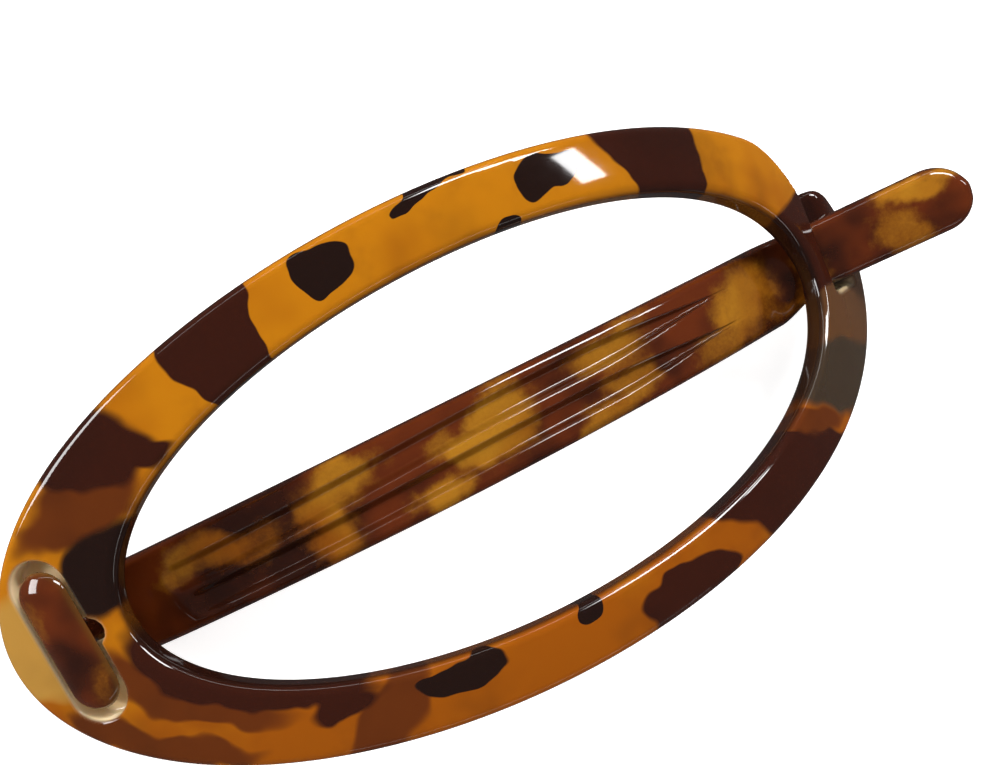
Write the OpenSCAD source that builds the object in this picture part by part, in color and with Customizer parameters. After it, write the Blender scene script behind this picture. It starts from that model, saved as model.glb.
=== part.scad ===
// Tongue barrette: an arched open oval frame with a long tongue behind it.
// The tongue swings on a pill-shaped head at one end of the frame and is held by a
// one-sided slit at the other. X runs along the length from hinge to tip, Y across,
// Z out of the front. The origin is the middle of the arch, halfway through the frame.

/* [Frame] */
// Length of the oval frame, measured along its arch
frame_len = 100; // [94:1:104]
// Width of the oval frame
frame_w = 43.4; // [42:0.2:46]
// Thickness of the frame
frame_t = 2.6; // [2.4:0.1:2.8]
// Radius of the arch, to the middle of the frame's thickness
arch_r = 92; // [90:1:96]
// Length of the window, measured along the arch
window_len = 77; // [75:0.5:78]
// Width of the window
window_w = 31.8; // [30:0.2:33]
// How far the window's middle lies towards the latch
window_shift = 0.6; // [0:0.1:0.8]
// Radius of the rounded edges of the frame
frame_edge_r = 1.1; // [0.6:0.1:1.15]

/* [Hinge] */
// Distance of the hinge from the middle of the frame, measured along the arch
hinge_at = 43.3; // [43:0.1:43.6]
// How far the hinge lies to the side of the frame's middle line
hinge_side = 0.7; // [0:0.1:0.8]
// Length of the hinge head, across the barrette
head_l = 13.2; // [12:0.2:13.4]
// Width of the hinge head
head_w = 4.8; // [4.4:0.1:4.8]
// Height of the head's dome above its edge
head_dome = 0.6; // [0.3:0.05:0.6]
// Radius of the round rib under the head, which rocks in the frame's groove
rib_r = 1.85; // [1.7:0.05:1.85]
// Gap between the rib and its groove
rib_gap = 0.1; // [0.08:0.01:0.12]
// Length of the recess that the head lies in
recess_l = 15.2; // [14.6:0.2:15.4]
// Width of the recess
recess_w = 5.4; // [5.4:0.1:6]
// Radius of the stem that joins the head to the tongue
stem_r = 1; // [0.9:0.05:1]
// Running gap around the stem in the tongue's bore
stem_gap = 0.05; // [0.04:0.01:0.08]

/* [Tongue] */
// Width of the tongue's bar
tongue_w = 9; // [8.6:0.1:9.4]
// How much narrower the bar is at the hinge than at its middle
bar_narrowing = 0.4; // [0:0.1:0.8]
// Width of the tongue's tip
tip_w = 7; // [6.6:0.1:7.2]
// How far the tip is set off sideways from the bar's middle line
tip_offset = 0.8; // [0.6:0.05:0.9]
// Thickness of the tongue
tongue_t = 2.4; // [2.2:0.1:2.4]
// Radius of the rounded edges of the tongue
tongue_edge_r = 1; // [0.6:0.1:1]
// Depth of the tongue's middle line behind the hinge axis
tongue_drop = 7.1; // [7:0.1:7.2]
// Depth of the two grooves in the bar's front face
groove_depth = 0.45; // [0.2:0.05:0.5]
// Slope of the tip, upwards along the length
tip_slope = 26; // [24:1:28]
// Gap between the tongue and the finger behind it in the latch
latch_gap = 0.3; // [0.25:0.05:0.4]
// Gap between the tongue and the strip in front of it in the latch
latch_front_gap = 0.8; // [0.3:0.1:1]

/* [Hidden] */
$fn = 48;
deg = 180 / PI;

// Frame: half sizes of the outer and the window ovals, flat along the arch
out_a = frame_len / 2;
out_b = frame_w / 2;
win_a = window_len / 2;
win_b = window_w / 2;
half_t = frame_t / 2;
face_crown = 0.12;
ring_steps = 96;
edge_steps = 4;

// Hinge frame: its origin is the hinge axis, its Z is the frame's own normal there
hinge_tilt = -hinge_at / arch_r * deg;
hinge_rise = half_t;
hinge_x = (arch_r + hinge_rise) * sin(hinge_tilt);
hinge_z = (arch_r + hinge_rise) * cos(hinge_tilt) - arch_r;
plate_low = -0.25;
pocket_depth = 1.85;
slot_back = -3.75;
slot_front = 3.6;
slot_w = 2.3;
slot_top = -pocket_depth + 0.5;
stem_top = -0.55;
stem_foot_r = 1.9;
stem_foot_t = 0.6;
foot_gap = 0.15;

// Tongue: distances along its middle line, counted from the stem
pad_end = -2.7;
pad_corner = 2.6;
tongue_yaw = -0.27;
tongue_side = -0.25;
pad_flat = 1.5;
bar_from = 8;
bar_to = 74.2;
bend_l = 5.4;
tip_to = 98.4;
pad_heading = -hinge_tilt;
bar_heading = 16.8;
bar_end_heading = -15.6;
tip_round_l = 3.4;
taper_from = 75.5;
taper_to = 82.5;
line_step = 0.5;
groove_from = 9;
groove_to = 70;
groove_at = 0.47;
groove_half = 0.34;

// Latch: the slit lies along the tongue's tip, closed on one side and open on the other
slit_at = 82.3;
slit_reach = 12;
slit_closed = -3.7;
strip_to = 40.2;
strip_corner_r = 6;
finger_at = 46.2;
finger_from = 6;
finger_round = 2;

// A point of the flat oval frame, moved onto the arch
function on_arch(s, y, z) =
    [(arch_r + z) * sin(s / arch_r * deg), y, (arch_r + z) * cos(s / arch_r * deg) - arch_r];

// The frame's section: [share of the way across, inset from that edge, height]
function edge_arc(sign_u) =
    [for (i = [0 : edge_steps])
        let (a = 90 * i / edge_steps)
        [sign_u, frame_edge_r * (1 - cos(a)), half_t - frame_edge_r + frame_edge_r * sin(a)]];
function reversed(list) = [for (i = [len(list) - 1 : -1 : 0]) list[i]];
function flipped(list) = [for (p = list) [p[0], p[1], -p[2]]];
function frame_section() =
    concat(edge_arc(1), [[0.5, 0, half_t + face_crown]], reversed(edge_arc(0)),
           flipped(edge_arc(0)), [[0.5, 0, -half_t]], reversed(flipped(edge_arc(1))));

// One point of the frame's skin at angle t round the ovals
function frame_point(t, q) =
    let (o = [out_a * cos(t), out_b * sin(t)],
         i = [win_a * cos(t) + window_shift, win_b * sin(t)],
         across = o - i,
         n_out = [out_b * cos(t), out_a * sin(t)],
         n_in = [win_b * cos(t), win_a * sin(t)],
         u = q[0] == 1 ? 1 - q[1] / (across * n_out / norm(n_out))
           : q[0] == 0 ? q[1] / (across * n_in / norm(n_in)) : q[0])
    on_arch(i.x + u * across.x, i.y + u * across.y, q[2]);

// Triangles between rings of points; a closed tube, or a bar with two end caps
function tube_faces(rings, n, closed) =
    [for (i = [0 : rings - (closed ? 1 : 2)])
        for (j = [0 : n - 1])
            let (a = i * n + j, b = i * n + (j + 1) % n,
                 c = ((i + 1) % rings) * n + (j + 1) % n, d = ((i + 1) % rings) * n + j)
            each [[a, b, c], [a, c, d]]];

module frame_ring() {
    section = frame_section();
    n = len(section);
    points = [for (k = [0 : ring_steps - 1])
        for (q = section) frame_point(360 * k / ring_steps, q)];
    polyhedron(points, tube_faces(ring_steps, n, true));
}

module at_hinge() {
    translate([hinge_x, hinge_side, hinge_z]) rotate([0, hinge_tilt, 0]) children();
}

// Places children on the frame's middle surface, at distance s along the arch
module at_arch(s, y) {
    translate(on_arch(s, y, 0)) rotate([0, s / arch_r * deg, 0]) children();
}

module stadium(length, width, height) {
    run = length - width;
    translate([-width / 2, -run / 2, 0]) cube([width, run, height]);
    for (s = [-1, 1])
        translate([0, s * run / 2, 0]) cylinder(h = height, d = width);
}

// Heading of the tongue's middle line, in degrees above X, at distance d from the stem
function heading(d) =
    d < pad_flat ? pad_heading
    : d < bar_from ? pad_heading + (bar_heading - pad_heading) * (d - pad_flat) / (bar_from - pad_flat)
    : d < bar_to ? bar_heading + (bar_end_heading - bar_heading) * (d - bar_from) / (bar_to - bar_from)
    : d < bar_to + bend_l ? bar_end_heading + (tip_slope - bar_end_heading) * (d - bar_to) / bend_l
    : tip_slope;

// The middle line in the hinge frame, as a table of [along, up] every line_step
line_start = [0, -tongue_drop] + pad_end * [1, 0];
middle_line = [for (i = 0, p = line_start, d = pad_end; d <= tip_to + line_step; i = i + 1,
        a = heading(d + line_step / 2) + hinge_tilt,
        p = p + line_step * [cos(a), sin(a)],
        d = d + line_step) p];
function line_at(d) =
    let (k = (d - pad_end) / line_step, i = min(floor(k), len(middle_line) - 2))
    middle_line[i] + (k - i) * (middle_line[i + 1] - middle_line[i]);

// Half width and half thickness of the tongue at distance d
function smooth(x) = let (c = min(max(x, 0), 1)) c * c * (3 - 2 * c);
function round_end(x) = sqrt(max(1 - pow(1 - min(max(x, 0), 1), 2), 0));
function side_shift(d) = tip_offset * smooth((d - taper_from) / (taper_to - taper_from));
function half_width(d) =
    let (bar = tongue_w - bar_narrowing * (1 - smooth((d + 10) / 50)),
         full = (bar + (tip_w - bar) * smooth((d - taper_from) / (taper_to - taper_from))) / 2,
         from_end = d - pad_end,
         from_tip = tip_to - d)
    min(full - pad_corner * (1 - round_end(from_end / pad_corner)),
        full - tip_w / 2 * 0.94 * (1 - round_end(from_tip / tip_round_l)));
function half_thick(d) =
    tongue_t / 2 * min(0.35 + 0.65 * round_end((d - pad_end) / (tongue_t / 2)),
                       0.3 + 0.7 * round_end((tip_to - d) / (tongue_t * 0.7)));

// Depth of the two scooped grooves at share v of the half width
function groove(d, v) =
    let (ends = smooth((d - groove_from) / 5) * smooth((groove_to - d) / 9),
         x = (abs(v) - groove_at) / groove_half)
    groove_depth * ends * (abs(x) < 1 ? pow(cos(90 * x), 2) : 0);

top_shares = [0.8, 0.64, 0.47, 0.3, 0.13, 0, -0.13, -0.3, -0.47, -0.64, -0.8];
function tongue_ring(d) =
    let (w = half_width(d), h = half_thick(d), r = min(tongue_edge_r, 0.95 * h),
         side = [for (i = [0 : 3]) let (a = 30 * i) [w - r + r * cos(a), h - r + r * sin(a)]],
         top = [for (v = top_shares) [v * (w - r), h + 0.06 * (1 - v * v) - groove(d, v)]],
         low = [for (v = [0.5, 0, -0.5]) [v * (w - r), -h]])
    concat(side, top, reversed([for (p = side) [-p.x, p.y]]),
           [for (p = side) [-p.x, -p.y]], reversed(low), reversed([for (p = side) [p.x, -p.y]]));

// Stations along the tongue, close together at both rounded ends
stations = concat(
    [for (a = [6 : 14 : 90]) pad_end + pad_corner * (1 - cos(a))],
    [for (i = [1 : 48]) 0.2 + i * (bar_to - 0.8) / 48],
    [for (i = [0 : 6]) bar_to + i * bend_l / 6],
    [for (i = [1 : 9]) bar_to + bend_l + i * (tip_to - tip_round_l - bar_to - bend_l) / 10],
    [for (a = [90 : -10 : 10]) tip_to - tip_round_l * (1 - cos(a))]);

module tongue_bar() {
    n = len(tongue_ring(10));
    count = len(stations);
    points = [for (d = stations)
        let (p = line_at(d), a = heading(d) + hinge_tilt)
        for (q = tongue_ring(d))
            [p.x - q.y * sin(a), q.x + tongue_side + side_shift(d), p.y + q.y * cos(a)]];
    caps = [[for (j = [0 : n - 1]) n - 1 - j], [for (j = [0 : n - 1]) (count - 1) * n + j]];
    polyhedron(points, concat(tube_faces(count, n, false), caps));
}

// Places children in the latch slit, with X along the tongue's tip
module at_latch() {
    p = line_at(slit_at);
    at_hinge()
        rotate([0, 0, tongue_yaw])
            translate([p.x, 0, p.y])
                rotate([0, -tip_slope - hinge_tilt, 0])
                    children();
}

// The slit, as deep as the tongue with a gap in front of it and behind it
module latch_slit() {
    at_latch()
        translate([-slit_reach, slit_closed, -tongue_t / 2 - latch_gap])
            cube([2 * slit_reach, frame_w, tongue_t + latch_gap + latch_front_gap]);
}

// The sharp corner between the slit and the frame's outer edge, which is rounded off.
// The round touches the outer oval at angle t and ends at strip_to along the arch.
function out_normal(t) = let (v = [out_b * cos(t), out_a * sin(t)]) v / norm(v);
function round_middle(t) = [out_a * cos(t), out_b * sin(t)] - strip_corner_r * out_normal(t);
module strip_corner() {
    t = [for (a = [20 : 0.25 : 80]) if (round_middle(a).x + strip_corner_r <= strip_to) a][0];
    middle = round_middle(t);
    reach = 2 * strip_corner_r;
    at_arch(middle.x, middle.y)
        difference() {
            linear_extrude(height = 8, center = true)
                polygon([[0, 0], [reach, 0], [reach, reach], reach * out_normal(t)]);
            cylinder(h = 12, r = strip_corner_r, center = true);
        }
}

// Everything behind the slit that lies past the finger's rounded free end
module beyond_finger() {
    difference() {
        at_latch()
            translate([-slit_reach, finger_from, -20]) cube([2 * slit_reach, frame_w, 20]);
        at_arch(finger_at, finger_from)
            cylinder(h = 12, r = finger_round, center = true);
    }
}

// The slot that the stem swings in; it reaches the front only on the side of the window
module stem_slot() {
    module slot_end(x) {
        translate([x, 0, 0]) cylinder(h = 12, d = slot_w);
    }
    translate([0, 0, slot_top - 12]) {
        translate([slot_back + slot_w / 2, -slot_w / 2, 0])
            cube([slot_front - slot_back - slot_w, slot_w, 12]);
        slot_end(slot_back + slot_w / 2);
        slot_end(slot_front - slot_w / 2);
    }
    translate([0, 0, -pocket_depth - 1]) {
        translate([0, -slot_w / 2, 0]) cube([slot_front - slot_w / 2, slot_w, 12]);
        slot_end(slot_front - slot_w / 2);
    }
}

module oval_frame() {
    color("#a8640f")
        difference() {
            frame_ring();
            at_hinge() {
                translate([0, 0, -pocket_depth]) stadium(recess_l, recess_w, 6);
                rotate([90, 0, 0])
                    cylinder(h = head_l - 2.4, r = rib_r + rib_gap, center = true);
                stem_slot();
            }
            latch_slit();
            strip_corner();
            beyond_finger();
        }
}

module tongue() {
    color("#7a3d12")
        at_hinge()
            rotate([0, 0, tongue_yaw])
                difference() {
                    tongue_bar();
                    translate([0, 0, -tongue_drop - 3]) cylinder(h = 6, r = stem_r + stem_gap);
                    translate([0, 0, -tongue_drop - tongue_t])
                        cylinder(h = tongue_t / 2 + stem_foot_t + foot_gap, r = stem_foot_r + foot_gap);
                }
}

module hinge_head() {
    dome_r = (pow(head_w / 2, 2) + pow(head_dome, 2)) / (2 * head_dome);
    color("#6b3410")
        at_hinge()
            difference() {
                union() {
                    intersection() {
                        translate([0, 0, plate_low]) stadium(head_l, head_w, 3);
                        translate([0, 0, head_dome - dome_r])
                            rotate([90, 0, 0]) cylinder(h = head_l + 2, r = dome_r, center = true, $fn = 200);
                    }
                    intersection() {
                        rotate([90, 0, 0]) cylinder(h = head_l - 3, r = rib_r, center = true);
                        translate([-rib_r - 1, -head_l / 2, -rib_r - 1])
                            cube([2 * rib_r + 2, head_l, rib_r + 1 + plate_low + 0.1]);
                    }
                }
                translate([0, 0, -rib_r - 1]) cylinder(h = rib_r + 1 + stem_top, r = stem_r);
            }
}

module hinge_stem() {
    foot_low = -tongue_drop - tongue_t / 2 + 0.05;
    color("#3c1c0c")
        at_hinge() {
            translate([0, 0, foot_low]) cylinder(h = stem_top - foot_low, r = stem_r);
            translate([0, 0, foot_low]) cylinder(h = stem_foot_t, r = stem_foot_r);
        }
}

oval_frame();
tongue();
hinge_head();
hinge_stem();
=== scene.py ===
"""Looks of the tongue barrette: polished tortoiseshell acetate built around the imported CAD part.

Shapes are worked out in millimetres and scaled to metres when a mesh is made.
"""

import math

import bpy
import numpy as np
from mathutils import Euler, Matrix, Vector


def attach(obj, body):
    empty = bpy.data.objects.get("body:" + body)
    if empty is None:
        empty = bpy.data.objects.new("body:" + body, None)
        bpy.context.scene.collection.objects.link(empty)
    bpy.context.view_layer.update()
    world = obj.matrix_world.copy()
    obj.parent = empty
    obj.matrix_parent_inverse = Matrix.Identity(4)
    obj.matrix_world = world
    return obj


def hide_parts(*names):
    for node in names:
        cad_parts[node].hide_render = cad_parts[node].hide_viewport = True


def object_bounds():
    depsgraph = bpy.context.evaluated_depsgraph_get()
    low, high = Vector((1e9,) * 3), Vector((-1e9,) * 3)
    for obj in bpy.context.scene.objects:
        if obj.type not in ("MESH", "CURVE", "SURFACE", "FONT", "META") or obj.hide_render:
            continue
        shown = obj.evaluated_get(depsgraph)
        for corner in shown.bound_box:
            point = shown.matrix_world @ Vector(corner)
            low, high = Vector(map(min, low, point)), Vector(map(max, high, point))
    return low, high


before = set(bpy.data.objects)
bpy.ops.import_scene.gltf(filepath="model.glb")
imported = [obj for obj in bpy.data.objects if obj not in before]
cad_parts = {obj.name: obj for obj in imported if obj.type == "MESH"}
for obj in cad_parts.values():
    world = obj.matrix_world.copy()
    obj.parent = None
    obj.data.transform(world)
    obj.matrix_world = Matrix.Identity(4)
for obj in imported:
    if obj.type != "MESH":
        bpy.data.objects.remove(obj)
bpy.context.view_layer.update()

MM = 0.001
rad = math.radians

# ---------------------------------------------------------------- sizes in millimetres
# As in the CAD part, apart from the crown of the face and the dome of the head, which are a little higher
FRAME_LEN, FRAME_W, FRAME_T, ARCH_R = 100.0, 43.4, 2.6, 92.0
WIN_LEN, WIN_W, WIN_SHIFT = 77.0, 31.8, 0.6
FACE_CROWN = 0.14
HINGE_AT, HINGE_SIDE = 43.3, 0.7
HEAD_L, HEAD_W, HEAD_DOME, HEAD_LOW = 13.2, 4.8, 0.75, -0.25
RIB_R, RIB_GAP = 1.85, 0.1
RECESS_L, RECESS_W, RECESS_DEEP = 15.2, 5.4, 1.85
SLOT_BACK, SLOT_FRONT, SLOT_W, SLOT_TOP = -3.75, 3.6, 2.3, -1.35
STEM_R, STEM_GAP, STEM_TOP = 1.0, 0.05, -0.55
FOOT_R, FOOT_T, FOOT_GAP = 1.9, 0.6, 0.15
TONGUE_W, BAR_NARROWING, TIP_W, TONGUE_T, TONGUE_DROP = 9.0, 0.4, 7.0, 2.4, 7.1
PAD_END, PAD_CORNER, PAD_FLAT = -2.7, 2.6, 1.5
BAR_FROM, BAR_TO, BEND_L, TIP_TO = 8.0, 74.2, 5.4, 98.4
PAD_HEAD, BAR_HEAD, BAR_END_HEAD, TIP_HEAD = 26.97, 16.8, -15.6, 26.0
TAPER_FROM, TAPER_TO, TIP_OFFSET = 75.5, 82.5, 0.8
TONGUE_YAW, TONGUE_SIDE = -0.27, -0.25
SLIT_AT, SLIT_CLOSED, LATCH_GAP, LATCH_FRONT_GAP = 82.3, -3.7, 0.3, 0.8
STRIP_CORNER_R = 6.0
RING_EDGE_R = 0.85
FINGER_AT, FINGER_FROM, FINGER_R = 45.3, 6.0, 1.7
FINGER_DOME, FINGER_DOME_MOST, FINGER_SOFT = 0.1, 0.8, 1.3

HINGE_TILT = -math.degrees(HINGE_AT / ARCH_R)
HINGE_P = np.array([
    (ARCH_R + FRAME_T / 2) * math.sin(rad(HINGE_TILT)),
    HINGE_SIDE,
    (ARCH_R + FRAME_T / 2) * math.cos(rad(HINGE_TILT)) - ARCH_R,
])

# ---------------------------------------------------------------- camera
cam_data = bpy.data.cameras.new("camera")
cam_data.sensor_width = 36.0
cam_data.lens = 30.6
cam_data.shift_x = 0.0302
cam_data.shift_y = 0.1128
cam_data.clip_start = 0.001
cam = bpy.data.objects.new("camera", cam_data)
bpy.context.scene.collection.objects.link(cam)
cam.location = Vector((-24.03, 7.81, 69.16)) * MM
cam.rotation_euler = Euler((rad(-1.696), rad(-15.855), rad(-26.749)), "XYZ")
bpy.context.scene.camera = cam


# ---------------------------------------------------------------- frames of reference, all in millimetres
def arch(p):
    """Flat frame coordinates (along the arch, across, out of the face) to the object's."""
    a = p[..., 0] / ARCH_R
    r = ARCH_R + p[..., 2]
    return np.stack([r * np.sin(a), p[..., 1], r * np.cos(a) - ARCH_R], -1)


def to_hinge(p):
    """Object frame to the hinge's own frame."""
    t = rad(HINGE_TILT)
    q = p - HINGE_P
    return np.stack([
        q[..., 0] * math.cos(t) - q[..., 2] * math.sin(t),
        q[..., 1],
        q[..., 0] * math.sin(t) + q[..., 2] * math.cos(t),
    ], -1)


def from_hinge(q):
    """The hinge's own frame to the object's."""
    t = rad(HINGE_TILT)
    return np.stack([
        q[..., 0] * math.cos(t) + q[..., 2] * math.sin(t),
        q[..., 1],
        -q[..., 0] * math.sin(t) + q[..., 2] * math.cos(t),
    ], -1) + HINGE_P


def spin(p, degrees):
    """Turns points about Z."""
    c, s = math.cos(rad(degrees)), math.sin(rad(degrees))
    return np.stack([p[..., 0] * c - p[..., 1] * s, p[..., 0] * s + p[..., 1] * c, p[..., 2]], -1)


# Heading of the tongue's middle line in the hinge's frame, and the line itself
LINE_STEP = 0.05
LINE_D = np.arange(PAD_END - 2, TIP_TO + 4, LINE_STEP)


def heading(d):
    h = np.interp(
        d,
        [PAD_FLAT, BAR_FROM, BAR_TO, BAR_TO + BEND_L],
        [PAD_HEAD, BAR_HEAD, BAR_END_HEAD, TIP_HEAD],
    )
    return h + HINGE_TILT


def middle_line():
    """Points and headings of the tongue's middle line, with its bends smoothed."""
    kernel = np.hanning(41)
    kernel /= kernel.sum()
    h = heading(LINE_D)
    h = np.convolve(np.pad(h, 20, mode="edge"), kernel, "valid")
    step = LINE_STEP * np.stack([np.cos(np.radians(h)), np.sin(np.radians(h))], -1)
    line = np.concatenate([[[0, 0]], np.cumsum(step, 0)[:-1]])
    zero = np.array([np.interp(0, LINE_D, line[:, i]) for i in (0, 1)])
    return line - zero + [0, -TONGUE_DROP], h


LINE, LINE_H = middle_line()


def along_tongue(p):
    """Tongue coordinates (along the middle line, across, out of its face) to the hinge's frame."""
    x = np.interp(p[..., 0], LINE_D, LINE[:, 0])
    z = np.interp(p[..., 0], LINE_D, LINE[:, 1])
    h = np.radians(np.interp(p[..., 0], LINE_D, LINE_H))
    y = p[..., 1] + side_shift(p[..., 0])
    q = np.stack([x - p[..., 2] * np.sin(h), y, z + p[..., 2] * np.cos(h)], -1)
    return spin(q, TONGUE_YAW)


def tongue_to_object(p):
    return from_hinge(along_tongue(p))


def to_latch(p):
    """Object frame to the frame of the latch slit: X along the tip, Z out of it."""
    q = spin(to_hinge(p), -TONGUE_YAW)
    x0 = np.interp(SLIT_AT, LINE_D, LINE[:, 0])
    z0 = np.interp(SLIT_AT, LINE_D, LINE[:, 1])
    a = rad(TIP_HEAD + HINGE_TILT)
    dx, dz = q[..., 0] - x0, q[..., 2] - z0
    return np.stack([
        dx * math.cos(a) + dz * math.sin(a), q[..., 1], -dx * math.sin(a) + dz * math.cos(a),
    ], -1)


# ---------------------------------------------------------------- distance functions
def smooth_max(a, b, k):
    h = np.clip(0.5 + 0.5 * (a - b) / k, 0, 1)
    return b + (a - b) * h + k * h * (1 - h)


def smooth_min(a, b, k):
    return -smooth_max(-a, -b, k)


def rounded(a, b, r):
    """Intersection of two distances with an edge of radius r."""
    qa, qb = a + r, b + r
    return np.minimum(np.maximum(qa, qb), 0) + np.hypot(np.maximum(qa, 0), np.maximum(qb, 0)) - r


def ellipse(x, y, a, b):
    k0 = np.hypot(x / a, y / b) + 1e-9
    k1 = np.hypot(x / a ** 2, y / b ** 2) + 1e-9
    return k0 * (k0 - 1) / k1


def capsule(x, y, length, width):
    """Flat stadium lying along y."""
    run = (length - width) / 2
    return np.hypot(x, y - np.clip(y, -run, run)) - width / 2


def ramp(x, a, b):
    t = np.clip((x - a) / (b - a), 0, 1)
    return t * t * (3 - 2 * t)


def ring_shape(p):
    s, y, z = p[..., 0], p[..., 1], p[..., 2]
    outer = ellipse(s, y, FRAME_LEN / 2, FRAME_W / 2)
    inner = -ellipse(s - WIN_SHIFT, y, WIN_LEN / 2, WIN_W / 2)
    share = np.clip(outer / (outer + inner - 1e-9), 0, 1)
    crown = FACE_CROWN * 4 * share * (1 - share)
    face = z - FRAME_T / 2 - crown
    back = -z - FRAME_T / 2
    body = rounded(rounded(np.maximum(outer, inner), face, RING_EDGE_R), back, RING_EDGE_R)

    w = arch(p)
    h = to_hinge(w)
    plan = capsule(h[..., 0], h[..., 1], RECESS_L, RECESS_W)
    recess = smooth_max(plan, -h[..., 2] - RECESS_DEEP, 0.25)
    body = smooth_max(body, -recess, 0.32)
    groove = np.maximum(
        np.hypot(h[..., 0], h[..., 2]) - RIB_R - RIB_GAP, np.abs(h[..., 1]) - HEAD_L / 2 + 1.2
    )
    body = smooth_max(body, -groove, 0.1)
    run = (SLOT_FRONT - SLOT_BACK - SLOT_W) / 2
    mid = (SLOT_FRONT + SLOT_BACK) / 2
    slot = np.hypot(h[..., 0] - mid - np.clip(h[..., 0] - mid, -run, run), h[..., 1]) - SLOT_W / 2
    under = np.where(h[..., 0] < 0, h[..., 2] - SLOT_TOP, -1.0)
    body = smooth_max(body, -np.maximum(slot, under), 0.22)

    q = to_latch(w)
    above = TONGUE_T / 2 + LATCH_FRONT_GAP - q[..., 2]
    dome = FINGER_DOME * (s - FINGER_AT) ** 2 * ramp(y, 2.5, FINGER_FROM)
    below = -TONGUE_T / 2 - LATCH_GAP - np.minimum(dome, FINGER_DOME_MOST) - q[..., 2]
    strip = rounded(outer, above, STRIP_CORNER_R)
    body = np.where((q[..., 2] > 0) & (q[..., 1] > 0), np.maximum(body, strip), body)
    slit = smooth_max(np.maximum(-above, below), SLIT_CLOSED - q[..., 1], 0.5)
    body = smooth_max(body, -slit, np.where(q[..., 2] < 0, 1.0, 0.38))
    past = np.maximum(y - FINGER_FROM + 2, 0)
    end = np.hypot((s - FINGER_AT) * ramp(past, 0, 3), past) - FINGER_R - 2
    finger = smooth_max(body, end, FINGER_SOFT)
    return np.where(q[..., 2] < 0, finger, body)


def half_width(d):
    wide = TONGUE_W - BAR_NARROWING * (1 - ramp(d, -10, 40))
    return (wide + (TIP_W - wide) * ramp(d, TAPER_FROM, TAPER_TO)) / 2


def side_shift(d):
    return TONGUE_SIDE + TIP_OFFSET * ramp(d, TAPER_FROM, TAPER_TO)


# Scooped grooves: side at the start and at the end, rounded start, pointed end, half width
GROOVES = ((0.75, 2.0, 6.4, 70.0, 1.5), (-2.15, -1.5, 7.4, 70.5, 1.4))
GROOVE_DEEP = 0.7


def groove_depth(d, y):
    deep = 0
    for first, last, start, end, half in GROOVES:
        side = first + (last - first) * ramp(d, start, start + 40)
        narrow = 1 - 0.9 * ramp(d, end - 20, end)
        into = np.clip(1 - (d - start) / half, 0, 1)
        w = np.maximum(half * narrow * np.sqrt(1 - into ** 2), 0.02)
        across = np.abs(y - side) / w
        level = (0.5 + 0.5 * ramp(d, start, start + 6)) * ramp(d, start, start + 1.2)
        level = level * (1 - ramp(d, end - 12, end))
        deep = deep + GROOVE_DEEP * level * (1 - ramp(across, 0.35, 1.0))
    return deep


def tongue_shape(p):
    d, y, z = p[..., 0], p[..., 1], p[..., 2]
    w = half_width(d)
    flat = np.abs(y) - w
    pad = rounded(flat, PAD_END - d, PAD_CORNER)
    tip = rounded(flat, d - TIP_TO, 3.0 + 1.2 * ramp(y, -1.5, 1.5))
    plan = np.where(d < 40, pad, tip)
    pillow = 0.1 * (1 - np.clip(y / w, -1, 1) ** 2)
    top = z - TONGUE_T / 2 - pillow + groove_depth(d, y)
    low = -z - TONGUE_T / 2
    edge = 0.95 + 0.2 * ramp(d, 78, 84)
    body = rounded(rounded(plan, top, edge), low, edge)
    r = np.hypot(d, y + TONGUE_SIDE)
    bore = r - STEM_R - STEM_GAP
    seat = np.maximum(r - FOOT_R - FOOT_GAP, z + TONGUE_T / 2 - FOOT_T - FOOT_GAP)
    return smooth_max(body, -np.minimum(bore, seat), 0.12)


def head_shape(p):
    x, y, z = p[..., 0], p[..., 1], p[..., 2]
    plan = capsule(x, y, HEAD_L, HEAD_W)
    bulge = HEAD_DOME * (1 - np.clip((plan + HEAD_W / 2) / (HEAD_W / 2), 0, 1.2) ** 2.4)
    plate = rounded(plan, z - bulge, 0.5)
    plate = rounded(plate, HEAD_LOW - z, 0.1)
    rib = np.maximum(np.hypot(x, z) - RIB_R, np.abs(y) - HEAD_L / 2 + 1.5)
    rib = np.maximum(rib, z - HEAD_LOW - 0.1)
    return smooth_min(plate, rib, 0.12)


def stem_shape(p):
    x, y, z = p[..., 0], p[..., 1], p[..., 2]
    r = np.hypot(x, y)
    low = -TONGUE_DROP - TONGUE_T / 2 + 0.05
    pin = rounded(r - STEM_R, np.abs(z - (STEM_TOP + low) / 2) - (STEM_TOP - low) / 2, 0.1)
    foot = rounded(r - FOOT_R, np.abs(z - low - FOOT_T / 2) - FOOT_T / 2, 0.15)
    return smooth_min(pin, foot, 0.12)


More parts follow.
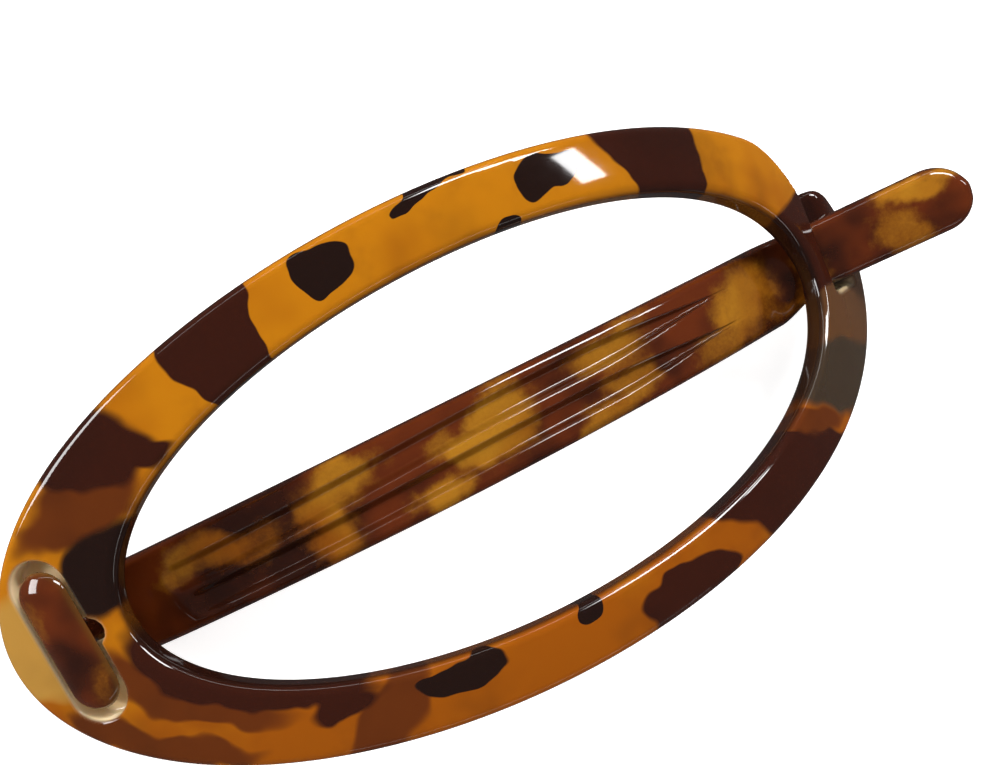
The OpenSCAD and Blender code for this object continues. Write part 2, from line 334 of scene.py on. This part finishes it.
# ---------------------------------------------------------------- meshes
def surface_net(shape, low, high, step):
    """Points and quads of the surface where shape is zero, on a grid of that step."""
    low, step = np.array(low, float), np.array(step, float)
    n = np.ceil((np.array(high) - low) / step).astype(int) + 1
    axes = [low[i] + step[i] * np.arange(n[i]) for i in range(3)]
    grid = np.empty(tuple(n))
    for i in range(n[0]):
        y, z = np.meshgrid(axes[1], axes[2], indexing="ij")
        grid[i] = shape(np.stack([np.full_like(y, axes[0][i]), y, z], -1))
    inside = grid < 0
    total = np.zeros((*(n - 1), 3))
    count = np.zeros(tuple(n - 1))
    edges = []
    for axis in range(3):
        a = [slice(None)] * 3
        b = [slice(None)] * 3
        a[axis], b[axis] = slice(0, -1), slice(1, None)
        ga, gb = grid[tuple(a)], grid[tuple(b)]
        i, j, k = np.nonzero(inside[tuple(a)] != inside[tuple(b)])
        t = ga[i, j, k] / (ga[i, j, k] - gb[i, j, k])
        at = np.stack([i, j, k], -1).astype(float)
        at[:, axis] += t
        edges.append((axis, i, j, k, inside[tuple(a)][i, j, k]))
        u, v = [c for c in range(3) if c != axis]
        for du in (0, 1):
            for dv in (0, 1):
                cell = np.stack([i, j, k], -1)
                cell[:, u] -= du
                cell[:, v] -= dv
                ok = ((cell >= 0) & (cell < n - 1)).all(1)
                c = tuple(cell[ok].T)
                np.add.at(total, c, at[ok])
                np.add.at(count, c, 1)
    used = count > 0
    number = np.full(used.shape, -1)
    number[used] = np.arange(used.sum())
    points = low + step * total[used] / count[used][:, None]
    quads = []
    for axis, i, j, k, first_in in edges:
        u, v = (axis + 1) % 3, (axis + 2) % 3
        base = np.stack([i, j, k], -1)
        ring = []
        for du, dv in ((1, 1), (0, 1), (0, 0), (1, 0)):
            cell = base.copy()
            cell[:, u] -= du
            cell[:, v] -= dv
            ring.append(number[tuple(cell.T)])
        q = np.stack(ring, -1)
        q[~first_in] = q[~first_in][:, ::-1]
        quads.append(q)
    return points, np.concatenate(quads)


def slope(shape, p, e=0.02):
    """Gradient of a distance function, by central differences."""
    g = []
    for i in range(3):
        d = np.zeros(3)
        d[i] = e
        g.append((shape(p + d) - shape(p - d)) / (2 * e))
    return np.stack(g, -1)


def write_attribute(mesh, name, values):
    mesh.attributes.new(name, "FLOAT", "POINT").data.foreach_set("value", values.astype(np.float32))


def skin(name, shape, low, high, step, place, body, node, marks=None, flat=0.8):
    """Meshes a shape, settles its points on the true surface and places it with true normals."""
    p, quads = surface_net(shape, low, high, step)
    for _ in range(4):
        g = slope(shape, p)
        move = shape(p)[:, None] * g / np.maximum((g * g).sum(1), 0.05)[:, None]
        size = np.linalg.norm(move, axis=1, keepdims=True)
        limit = 0.5 * min(step)
        p = p - move * np.minimum(1, limit / np.maximum(size, 1e-9))
    g = slope(shape, p)
    cols = []
    for i in range(3):
        d = np.zeros(3)
        d[i] = 0.01
        cols.append((place(p + d) - place(p - d)) / 0.02)
    jac = np.stack(cols, -1)
    normal = np.linalg.solve(np.transpose(jac, (0, 2, 1)), g[..., None])[..., 0]
    normal /= np.maximum(np.linalg.norm(normal, axis=1, keepdims=True), 1e-9)
    world = place(p) * MM
    mesh = bpy.data.meshes.new(name)
    mesh.from_pydata(world.tolist(), [], quads.tolist())
    mesh.shade_smooth()
    mesh.normals_split_custom_set_from_vertices(normal.tolist())
    # Mask for painted shading: 1 on steep sides, 0 on faces that look along Z
    facing = np.abs(g[:, 2]) / np.maximum(np.linalg.norm(g, axis=1), 1e-9)
    write_attribute(mesh, "painted_wall_shading", 1 - ramp(facing, 0.25, flat))
    for key, value in (marks or {}).items():
        write_attribute(mesh, key, value(p))
    obj = bpy.data.objects.new(name, mesh)
    bpy.context.scene.collection.objects.link(obj)
    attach(obj, body)
    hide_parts(node)
    return obj


def groove_walls(p):
    """1 on the steep sides of the grooves: the mask for the painted shade in them."""
    rise = groove_depth(p[..., 0], p[..., 1] + 0.03) - groove_depth(p[..., 0], p[..., 1] - 0.03)
    return ramp(np.abs(rise) / 0.06, 0.25, 0.9) * ramp(p[..., 2], 0, 0.4)


def pale_cuts_and_slit_glint(p):
    """1 on the sawn faces of the recess and its notch, where the acetate is pale; 0.45 at the slit's
    closed end for a painted glint.
    """
    h = to_hinge(arch(p))
    plan = capsule(h[..., 0], h[..., 1], RECESS_L, RECESS_W)
    notch = np.hypot(h[..., 0] - SLOT_FRONT + SLOT_W / 2, h[..., 1]) - SLOT_W / 2
    plan = np.minimum(plan, notch)
    pale = (1 - ramp(plan, 0.0, 0.3)) * (1 - ramp(h[..., 2], -0.3, 0.1)) * ramp(h[..., 2], -2.4, -1.9)
    # Painted golden glint at the slit's closed end
    q = to_latch(arch(p))
    end = 1 - ramp(np.abs(q[..., 1] - SLIT_CLOSED), 0.15, 0.6)
    end = end * (1 - ramp(np.abs(q[..., 2]), 1.3, 2.2))
    return np.maximum(pale, 0.45 * end)


fine = 1.0
ring = skin(
    "ring", ring_shape, (-50.6, -22.3, -1.7), (50.6, 22.3, 1.9),
    (0.235 * fine, 0.235 * fine, 0.15 * fine), arch, "frame", "oval_frame",
    {"pale_cut_and_glint": pale_cuts_and_slit_glint},
)
bar = skin(
    "tongue_bar", tongue_shape, (-3.2, -5.0, -1.6), (98.9, 5.0, 1.7),
    (0.28 * fine, 0.12 * fine, 0.14 * fine), tongue_to_object, "tongue", "tongue",
    {"painted_groove_shade": groove_walls},
)
head = skin(
    "domed_head", head_shape, (-2.7, -6.8, -2.1), (2.7, 6.8, 1.1),
    (0.12, 0.12, 0.12), from_hinge, "hinge", "hinge_head",
    flat=0.985,
)
stem = skin(
    "round_stem", stem_shape, (-2.2, -2.2, -8.6), (2.2, 2.2, -0.3),
    (0.13, 0.13, 0.13), from_hinge, "hinge", "hinge_stem",
)


# ---------------------------------------------------------------- materials
class Nodes:
    """Small helpers to write a material as formulas."""

    def __init__(self, name):
        self.mat = bpy.data.materials.new(name)
        self.mat.use_nodes = True
        self.tree = self.mat.node_tree
        self.tree.nodes.clear()

    def add(self, kind, **values):
        n = self.tree.nodes.new(kind)
        for k, v in values.items():
            setattr(n, k, v)
        return n

    def plug(self, socket, value):
        if isinstance(value, bpy.types.NodeSocket):
            self.tree.links.new(value, socket)
        elif value is not None:
            socket.default_value = value

    def math(self, op, a, b=None, c=None, clamp=False):
        n = self.add("ShaderNodeMath", operation=op, use_clamp=clamp)
        for i, v in enumerate((a, b, c)):
            self.plug(n.inputs[i], v)
        return n.outputs[0]

    def vmath(self, op, a, b=None):
        n = self.add("ShaderNodeVectorMath", operation=op)
        self.plug(n.inputs[0], a)
        if b is not None:
            self.plug(n.inputs[1], b)
        return n.outputs["Value"] if op in ("LENGTH", "DISTANCE") else n.outputs[0]

    def noise(self, vector, scale, detail=2.0, rough=0.5, colour=False):
        n = self.add("ShaderNodeTexNoise")
        self.plug(n.inputs["Vector"], vector)
        n.inputs["Scale"].default_value = scale
        n.inputs["Detail"].default_value = detail
        n.inputs["Roughness"].default_value = rough
        return n.outputs["Color" if colour else "Fac"]

    def attribute(self, name):
        return self.add("ShaderNodeAttribute", attribute_name=name).outputs["Fac"]

    def ramp(self, value, low, high):
        n = self.add("ShaderNodeMapRange", interpolation_type="SMOOTHSTEP")
        self.plug(n.inputs[0], value)
        self.plug(n.inputs[1], low)
        self.plug(n.inputs[2], high)
        n.inputs[3].default_value, n.inputs[4].default_value = 0.0, 1.0
        return n.outputs[0]

    def mix(self, fac, a, b):
        n = self.add("ShaderNodeMix", data_type="RGBA")
        self.plug(n.inputs["Factor"], fac)
        self.plug(n.inputs["A"], (*a, 1.0) if isinstance(a, tuple) else a)
        self.plug(n.inputs["B"], (*b, 1.0) if isinstance(b, tuple) else b)
        return n.outputs["Result"]


def rgb(r, g, b):
    """A screen colour as linear values."""
    return tuple(((c / 255 + 0.055) / 1.055) ** 2.4 if c > 10 else c / 255 / 12.92 for c in (r, g, b))


# Olive only paints shading on the head's rounded rim
OLIVE = rgb(96, 66, 24)
HONEY, AMBER, BROWN = rgb(174, 107, 9), rgb(138, 71, 5), rgb(88, 40, 10)
# The grey, tan and straw colours are painted reflections on the ring's end slopes
DARK, BLACK, GREY_REFLECTION = rgb(48, 18, 9), rgb(27, 13, 9), rgb(56, 44, 33)
TAN_REFLECTION, STRAW_REFLECTION, PALE = rgb(84, 54, 31), rgb(168, 124, 54), rgb(255, 230, 184)


def acetate(n, colour, position):
    """Polished acetate: slightly milky body, hard gloss, faint waves and hairline scratches."""
    out = n.add("ShaderNodeOutputMaterial")
    b = n.add("ShaderNodeBsdfPrincipled")
    n.plug(b.inputs["Base Color"], colour)
    wear = n.noise(position, 900.0, 3.0, 0.6)
    n.plug(b.inputs["Roughness"], n.math("MULTIPLY_ADD", wear, 0.06, 0.03))
    b.inputs["IOR"].default_value = 1.49
    b.inputs["Subsurface Weight"].default_value = 0.08
    b.inputs["Subsurface Radius"].default_value = (1.0, 0.45, 0.12)
    b.inputs["Subsurface Scale"].default_value = 0.0008
    b.inputs["Coat Weight"].default_value = 0.15
    b.inputs["Coat Roughness"].default_value = 0.02
    stretch = n.add("ShaderNodeMapping")
    n.plug(stretch.inputs["Vector"], position)
    stretch.inputs["Rotation"].default_value = (0, 0, 0.5)
    stretch.inputs["Scale"].default_value = (60.0, 2400.0, 600.0)
    scratch = n.ramp(n.noise(stretch.outputs[0], 1.0, 2.0, 0.7), 0.66, 0.8)
    waves = n.noise(position, 160.0, 2.0, 0.5)
    height = n.math("MULTIPLY_ADD", scratch, -0.06, n.math("MULTIPLY", waves, 0.5))
    bump = n.add("ShaderNodeBump")
    n.plug(bump.inputs["Height"], height)
    bump.inputs["Strength"].default_value = 0.12
    bump.inputs["Distance"].default_value = 0.0002
    n.plug(b.inputs["Normal"], bump.outputs[0])
    n.tree.links.new(b.outputs[0], out.inputs[0])
    return n.mat


# Patches of the ring: angle round the oval, share outwards (1 at the outer edge, 0.75 at the window),
# half sizes of both, how far the patch leans round as it goes outwards, how sharp it is, colour
PATCHES = (
    # The straw patch on the left end's outer edge is a painted reflection, the light rim a rounded edge
    # catches
    (176, 0.95, 13.0, 0.065, 0, 0.35, STRAW_REFLECTION),
    (205, 0.84, 20.0, 0.035, 0, 0.3, BROWN),
    (210, 0.955, 15.0, 0.035, 0, 0.3, BROWN),
    (147, 0.87, 7.0, 0.11, 0, 0.25, BROWN),
    (241, 0.87, 3.6, 0.20, 4, 0.4, BROWN),
    # The tan and grey patches on the right end's outer slope paint its greyish reflection over the brown
    # acetate
    (343, 0.88, 11.0, 0.25, 0, 0.35, TAN_REFLECTION),
    (325, 0.88, 9.0, 0.25, -14, 0.45, GREY_REFLECTION),
    (313, 0.80, 3.0, 0.12, 0, 0.3, BROWN),
    (118.4, 0.875, 5.7, 0.20, -30, 0.97, DARK),
    (136.5, 0.91, 6.6, 0.14, -22, 0.6, DARK),
    (137, 0.80, 3.5, 0.06, 0, 0.4, DARK),
    (163, 0.79, 11.0, 0.075, 0, 0.5, BLACK),
    (102.9, 0.90, 3.5, 0.085, -8, 0.98, BLACK),
    (89.8, 0.965, 4.0, 0.028, 0, 0.98, BLACK),
    (81.8, 0.765, 2.4, 0.032, 0, 0.98, BLACK),
    (76.0, 0.89, 3.2, 0.08, 8, 0.95, BLACK),
    (57.2, 0.865, 8.0, 0.2, 52, 0.9, DARK),
    (8.5, 0.87, 16.0, 0.25, 0, 0.8, DARK),
    (300.5, 0.87, 10.3, 0.25, 6, 0.8, DARK),
    (279.5, 0.91, 6.0, 0.095, 10, 0.85, DARK),
    (265.8, 0.755, 2.3, 0.042, 5, 0.98, BLACK),
    (249.0, 0.82, 5.8, 0.055, 24, 0.9, BLACK),
    (209, 0.765, 27.0, 0.050, 0, 0.55, DARK),
    (233, 0.81, 4.5, 0.05, 0, 0.5, DARK),
)


def ring_material():
    n = Nodes("tortoiseshell_ring")
    pos = n.add("ShaderNodeTexCoord").outputs["Object"]
    wobble = n.vmath("SUBTRACT", n.noise(pos, 175.0, 2.0, 0.45, True), (0.5, 0.5, 0.5))
    w = n.add("ShaderNodeVectorMath", operation="MULTIPLY_ADD")
    n.plug(w.inputs[0], wobble)
    w.inputs[1].default_value = (0.0044, 0.0044, 0.0044)
    n.plug(w.inputs[2], pos)
    xyz = n.add("ShaderNodeSeparateXYZ")
    n.plug(xyz.inputs[0], w.outputs[0])
    along = n.math("ARCSINE", n.math("DIVIDE", xyz.outputs[0], (ARCH_R + FRAME_T / 2) * MM))
    x = n.math("MULTIPLY", along, 2 * ARCH_R / FRAME_LEN)
    y = n.math("DIVIDE", xyz.outputs[1], FRAME_W / 2 * MM)
    angle = n.math("MULTIPLY", n.math("ARCTAN2", y, x), 180 / math.pi)
    share = n.math("SQRT", n.math("ADD", n.math("MULTIPLY", x, x), n.math("MULTIPLY", y, y)))
    cloud = n.math("MULTIPLY_ADD", y, 0.16, n.noise(pos, 62.0, 3.0, 0.55))
    colour = n.mix(n.ramp(cloud, 0.36, 0.66), AMBER, HONEY)
    streak = n.ramp(n.noise(pos, 130.0, 4.0, 0.6), 0.5, 0.78)
    colour = n.mix(n.math("MULTIPLY", streak, 0.35), colour, BROWN)
    for t, k, dt, dk, lean, sharp, shade in PATCHES:
        a = n.math("MULTIPLY_ADD", n.math("SUBTRACT", share, k), -lean, angle)
        a = n.math("SUBTRACT", a, t if t < 180 else t - 360)
        a = n.math("WRAP", a, 180.0, -180.0)
        a = n.math("DIVIDE", n.math("ABSOLUTE", a), dt)
        c = n.math("DIVIDE", n.math("ABSOLUTE", n.math("SUBTRACT", share, k)), dk)
        a = n.math("POWER", a, 3.0)
        c = n.math("POWER", c, 3.0)
        reach = n.math("ADD", a, c)
        soft = 0.06 + 0.9 * (1 - sharp)
        inside = n.math("SUBTRACT", 1.0, n.ramp(reach, 1 - soft * 0.7, 1 + soft))
        colour = n.mix(inside, colour, shade)
    depth = n.ramp(n.noise(pos, 85.0, 3.0, 0.6), 0.45, 0.75)
    colour = n.mix(n.math("MULTIPLY", depth, 0.35), colour, BLACK)
    # Painted shade: the steep walls and rounded edges are darkened toward black
    colour = n.mix(n.math("MULTIPLY", n.attribute("painted_wall_shading"), 0.82), colour, BLACK)
    # Pale sawn faces of the recess and notch, and a painted glint at the slit's closed end
    colour = n.mix(n.math("MULTIPLY", n.attribute("pale_cut_and_glint"), 0.9), colour, PALE)
    return acetate(n, colour, pos)


# Clouds of the tongue: place along X, across Y, half length, half width (millimetres), weight
CLOUDS = (
    (-29.8, 2.0, 3.2, 1.9, 0.75),
    (-26.0, 1.0, 3.6, 2.2, 0.55),
    (-18.8, -1.0, 3.2, 4.6, 1.0),
    (-15.0, 2.6, 3.4, 2.2, 0.85),
    (-7.8, -3.6, 2.6, 2.2, 1.0),
    (-6.0, 1.0, 3.0, 1.8, 0.55),
    (-3.0, -0.9, 3.4, 1.9, 1.0),
    (1.2, 1.4, 3.4, 2.9, 0.9),
    (9.6, -3.6, 3.6, 1.6, 0.8),
    (13.2, 2.6, 6.0, 2.0, 0.8),
    (13.4, -1.4, 3.4, 2.0, 0.75),
    (25.5, -3.2, 4.0, 2.0, 0.6),
    (31.2, 0.3, 4.8, 4.6, 0.95),
    (39.4, 0.0, 1.5, 4.6, 0.5),
    (38.8, -3.4, 5.0, 1.6, 0.45),
    (47.8, -0.6, 2.6, 3.0, 0.6),
    (51.6, 3.2, 4.4, 1.4, 1.0),
)


def tongue_material(name, clouds, rim_shading):
    n = Nodes(name)
    pos = n.add("ShaderNodeTexCoord").outputs["Object"]
    wobble = n.vmath("SUBTRACT", n.noise(pos, 160.0, 3.0, 0.55, True), (0.5, 0.5, 0.5))
    w = n.add("ShaderNodeVectorMath", operation="MULTIPLY_ADD")
    n.plug(w.inputs[0], wobble)
    w.inputs[1].default_value = (0.0105, 0.006, 0.006)
    n.plug(w.inputs[2], pos)
    xyz = n.add("ShaderNodeSeparateXYZ")
    n.plug(xyz.inputs[0], w.outputs[0])
    light = None
    for x, y, a, b, weight in clouds:
        dx = n.math("DIVIDE", n.math("SUBTRACT", xyz.outputs[0], x * MM), a * MM)
        dy = n.math("DIVIDE", n.math("SUBTRACT", xyz.outputs[1], y * MM), b * MM)
        r = n.math("SQRT", n.math("ADD", n.math("MULTIPLY", dx, dx), n.math("MULTIPLY", dy, dy)))
        one = n.math("MULTIPLY", n.math("SUBTRACT", 1.0, n.ramp(r, 0.35, 1.3)), weight)
        light = one if light is None else n.math("ADD", light, one)
    grain = n.noise(pos, 2600.0, 3.0, 0.7)
    light = n.math("MINIMUM", light, 1.0)
    light = n.ramp(n.math("ADD", light, n.math("MULTIPLY_ADD", grain, 0.5, -0.25)), 0.0, 1.15)
    shade = n.noise(pos, 75.0, 3.0, 0.6)
    dark = n.mix(n.ramp(shade, 0.38, 0.62), rgb(40, 16, 9), rgb(92, 38, 13))
    warm = n.mix(n.ramp(shade, 0.35, 0.65), rgb(132, 72, 10), rgb(166, 112, 26))
    colour = n.mix(light, dark, warm)
    # Painted shading on the steep sides: black on the tongue, olive on the head's rounded rim
    colour = n.mix(n.math("MULTIPLY", n.attribute("painted_wall_shading"), 0.75), colour, rim_shading)
    # Painted shade on the steep sides of the grooves
    colour = n.mix(n.math("MULTIPLY", n.attribute("painted_groove_shade"), 0.3), colour, BLACK)
    return acetate(n, colour, pos)


def stem_material():
    n = Nodes("dark_stem")
    pos = n.add("ShaderNodeTexCoord").outputs["Object"]
    colour = n.mix(n.noise(pos, 300.0), rgb(40, 18, 11), rgb(80, 34, 14))
    return acetate(n, colour, pos)


ring.data.materials.append(ring_material())
# Black is the tongue's painted side shade; olive, below, is the head's painted rim shading
bar.data.materials.append(tongue_material("tortoiseshell_tongue", CLOUDS, BLACK))
head.data.materials.append(
    tongue_material("tortoiseshell_head", (
        (-42.0, -4.0, 1.6, 2.4, 0.4), (-44.2, 3.0, 1.0, 2.6, 0.3),
    ), OLIVE)
)
stem.data.materials.append(stem_material())

# ---------------------------------------------------------------- floor and light
low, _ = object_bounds()
bpy.ops.mesh.primitive_plane_add(size=3.0, location=(0, 0, low[2] - 0.0004))
floor = bpy.context.object
floor.name = "floor"
paper = Nodes("paper")
surface = paper.add("ShaderNodeBsdfPrincipled")
surface.inputs["Base Color"].default_value = (0.9, 0.9, 0.9, 1)
surface.inputs["Roughness"].default_value = 0.9
surface.inputs["Specular IOR Level"].default_value = 0.1
surface.inputs["Emission Color"].default_value = (1, 1, 1, 1)
surface.inputs["Emission Strength"].default_value = 0.6
paper.tree.links.new(surface.outputs[0], paper.add("ShaderNodeOutputMaterial").inputs[0])
floor.data.materials.append(paper.mat)
floor.visible_glossy = False


def softbox(name, at, towards, width, height, power, mirrored):
    """Rectangular lamp; only a mirrored one shows in the gloss."""
    data = bpy.data.lights.new(name, "AREA")
    data.shape = "RECTANGLE"
    data.size, data.size_y = width, height
    data.energy = power
    obj = bpy.data.objects.new(name, data)
    bpy.context.scene.collection.objects.link(obj)
    obj.location = at
    obj.rotation_euler = (Vector(towards) - Vector(at)).to_track_quat("-Z", "Y").to_euler()
    obj.visible_glossy = mirrored


softbox("back_box", (0.05, 0.66, 0.40), (0, 0, 0), 1.4, 0.5, 4.9, False)
softbox("front_box", (-0.05, -0.70, 0.36), (0, 0, 0), 1.4, 0.5, 4.9, False)
softbox("back_strip", (0.0, 0.62, 0.30), (0, 0, 0), 0.9, 0.014, 0.6, True)
softbox("front_strip", (0.0, -0.62, 0.30), (0, 0, 0), 0.9, 0.014, 0.35, True)
softbox("ridge_strip", (0.27, 0.30, 0.38), (0, 0, 0), 0.26, 0.12, 2.4, True)
softbox("window", (0.375, 0.088, 0.345), (0.014, 0.0185, 0), 0.10, 0.045, 0.3, True)
softbox("lamp", (-0.42, 0.23, 0.15), (-0.041, 0, -0.008), 0.26, 0.16, 1.6, True)

world = bpy.data.worlds.new("studio")
world.use_nodes = True
world.node_tree.nodes["Background"].inputs[0].default_value = (1, 1, 1, 1)
world.node_tree.nodes["Background"].inputs[1].default_value = 0.08
bpy.context.scene.world = world
bpy.context.scene.view_settings.view_transform = "Standard"
